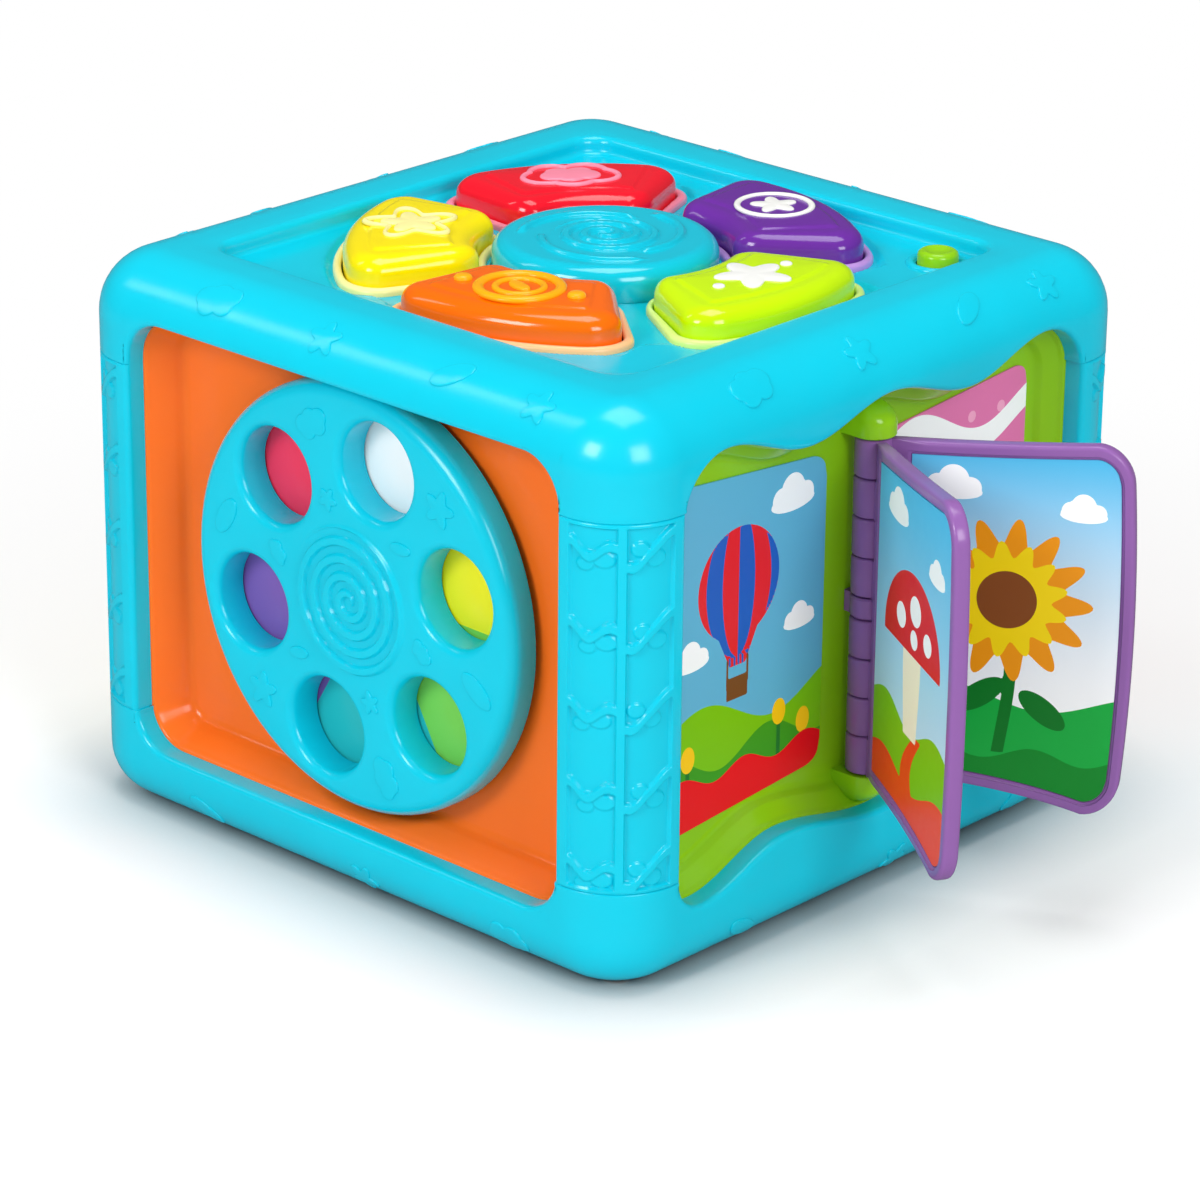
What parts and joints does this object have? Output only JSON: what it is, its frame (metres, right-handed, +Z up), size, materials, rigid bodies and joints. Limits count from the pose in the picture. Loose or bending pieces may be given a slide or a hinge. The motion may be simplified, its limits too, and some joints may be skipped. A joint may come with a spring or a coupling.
{
  "type": "activity cube",
  "caption": "Moulded activity cube with a finger dial, a hinged board book, push buttons round a tray, meshed gears and a roller set, on a flat base.",
  "frame": {"origin": "middle of the flat underside, on the surface that the cube stands on", "axes": "+Z up, +X out of the book side, -Y out of the dial side"},
  "size_m": [0.255, 0.2, 0.158],
  "materials": {
    "blue_abs": "moulded, glossy",
    "orange_abs": "moulded, glossy",
    "lime_abs": "moulded, glossy",
    "purple_abs": "moulded, glossy",
    "red_abs": "moulded, glossy",
    "yellow_abs": "moulded, glossy",
    "white_abs": "moulded, glossy",
    "bezel_peach": "tinted, glossy",
    "bezel_lime": "tinted, glossy",
    "bezel_lilac": "tinted, glossy",
    "bezel_pink": "tinted, glossy",
    "bezel_straw": "tinted, glossy",
    "printed_film": "printed film, satin",
    "zinc_steel": "zinc plated",
    "board_laminate": "solder mask",
    "silicone": "moulded, matte",
    "black_plastic": "fine texture",
    "cell_jacket": "printed jacket",
    "lead_red": "satin",
    "lead_black": "satin"
  },
  "bodies": {
    "housing": {"base_shell": "blue_abs", "top_shell": "blue_abs", "corner_post_front": "blue_abs", "corner_post_right": "blue_abs", "corner_post_rear": "blue_abs", "corner_post_left": "blue_abs", "battery_door": "blue_abs", "dial_panel": "orange_abs", "book_panel": "lime_abs", "spine_clip": "purple_abs", "roller_panel": "red_abs", "gear_panel": "yellow_abs", "gear_pins": "white_abs", "roller_rod": "white_abs", "bezel_orange": "bezel_peach", "bezel_green": "bezel_lime", "bezel_purple": "bezel_lilac", "bezel_red": "bezel_pink", "bezel_yellow": "bezel_straw", "panel_print_left": "printed_film", "panel_print_right": "printed_film", "colour_disc": "printed_film", "hinge_pin": "zinc_steel", "shell_screws": "zinc_steel", "board_screws": "zinc_steel", "panel_screws": "zinc_steel", "door_screw": "zinc_steel", "battery_contacts": "zinc_steel", "circuit_board": "board_laminate", "switch_domes": "silicone", "battery_box": "black_plastic", "speaker": "black_plastic", "batteries": "cell_jacket", "battery_lead": "lead_red", "speaker_lead": "lead_black"},
    "dial": {"dial": "blue_abs", "dial_washer": "zinc_steel", "dial_screw": "zinc_steel"},
    "page_left": {"page_left": "purple_abs", "page_left_inner_print": "printed_film", "page_left_outer_print": "printed_film"},
    "page_right": {"page_right": "purple_abs", "page_right_inner_print": "printed_film", "page_right_outer_print": "printed_film"},
    "gear_large": {"gear_large": "red_abs"},
    "gear_medium": {"gear_medium": "purple_abs"},
    "gear_small": {"gear_small": "lime_abs"},
    "roller_1": {"roller_1": "yellow_abs"},
    "roller_2": {"roller_2": "lime_abs"},
    "roller_3": {"roller_3": "purple_abs"},
    "centre_button": {"centre_button": "blue_abs"},
    "mode_button": {"mode_button": "lime_abs"},
    "button_orange": {"button_orange": "orange_abs"},
    "button_green": {"button_green": "lime_abs"},
    "button_purple": {"button_purple": "purple_abs"},
    "button_red": {"button_red": "red_abs"},
    "button_yellow": {"button_yellow": "yellow_abs"}
  },
  "joints": [
    {"name": "dial_spin", "type": "hinge", "parent": "housing", "child": "dial", "pos_m": [0, -0.09, 0.0805], "axis": [0, -1, 0], "continuous": true},
    {"name": "page_left_swing", "type": "hinge", "parent": "housing", "child": "page_left", "pos_m": [0.0935, 0, 0.078], "axis": [0, 0, 1], "range_deg": [-59, 18]},
    {"name": "page_right_swing", "type": "hinge", "parent": "housing", "child": "page_right", "pos_m": [0.0935, 0, 0.078], "axis": [0, 0, 1], "range_deg": [-15, 62]},
    {"name": "gear_large_spin", "type": "hinge", "parent": "housing", "child": "gear_large", "pos_m": [-0.0892, -0.004, 0.094], "axis": [-1, 0, 0], "continuous": true},
    {"name": "gear_medium_spin", "type": "hinge", "parent": "housing", "child": "gear_medium", "pos_m": [-0.0892, 0.0389, 0.058], "axis": [-1, 0, 0], "continuous": true},
    {"name": "gear_small_spin", "type": "hinge", "parent": "housing", "child": "gear_small", "pos_m": [-0.0892, -0.04154, 0.0625], "axis": [-1, 0, 0], "continuous": true},
    {"name": "roller_1_spin", "type": "hinge", "parent": "housing", "child": "roller_1", "pos_m": [0, 0.0825, 0.079], "axis": [1, 0, 0], "continuous": true},
    {"name": "roller_2_spin", "type": "hinge", "parent": "housing", "child": "roller_2", "pos_m": [0, 0.0825, 0.079], "axis": [1, 0, 0], "continuous": true},
    {"name": "roller_3_spin", "type": "hinge", "parent": "housing", "child": "roller_3", "pos_m": [0, 0.0825, 0.079], "axis": [1, 0, 0], "continuous": true},
    {"name": "button_orange_press", "type": "slide", "parent": "housing", "child": "button_orange", "axis": [0, 0, -1], "range_m": [0, 0.0025], "stiffness_N_per_m": 600, "springref_m": -0.003, "deforming": ["switch_domes"]},
    {"name": "button_green_press", "type": "slide", "parent": "housing", "child": "button_green", "axis": [0, 0, -1], "range_m": [0, 0.0025], "stiffness_N_per_m": 600, "springref_m": -0.003, "deforming": ["switch_domes"]},
    {"name": "button_purple_press", "type": "slide", "parent": "housing", "child": "button_purple", "axis": [0, 0, -1], "range_m": [0, 0.0025], "stiffness_N_per_m": 600, "springref_m": -0.003, "deforming": ["switch_domes"]},
    {"name": "button_red_press", "type": "slide", "parent": "housing", "child": "button_red", "axis": [0, 0, -1], "range_m": [0, 0.0025], "stiffness_N_per_m": 600, "springref_m": -0.003, "deforming": ["switch_domes"]},
    {"name": "button_yellow_press", "type": "slide", "parent": "housing", "child": "button_yellow", "axis": [0, 0, -1], "range_m": [0, 0.0025], "stiffness_N_per_m": 600, "springref_m": -0.003, "deforming": ["switch_domes"]},
    {"name": "centre_button_press", "type": "slide", "parent": "housing", "child": "centre_button", "axis": [0, 0, -1], "range_m": [0, 0.0025], "stiffness_N_per_m": 600, "springref_m": -0.003, "deforming": ["switch_domes"]},
    {"name": "mode_button_press", "type": "slide", "parent": "housing", "child": "mode_button", "axis": [0, 0, -1], "range_m": [0, 0.0025], "stiffness_N_per_m": 600, "springref_m": -0.003, "deforming": ["switch_domes"]}
  ],
  "couplings": [
    {"joint": "gear_medium_spin", "follows": "gear_large_spin", "ratio": -1.2857},
    {"joint": "gear_small_spin", "follows": "gear_large_spin", "ratio": -1.8}
  ]
}
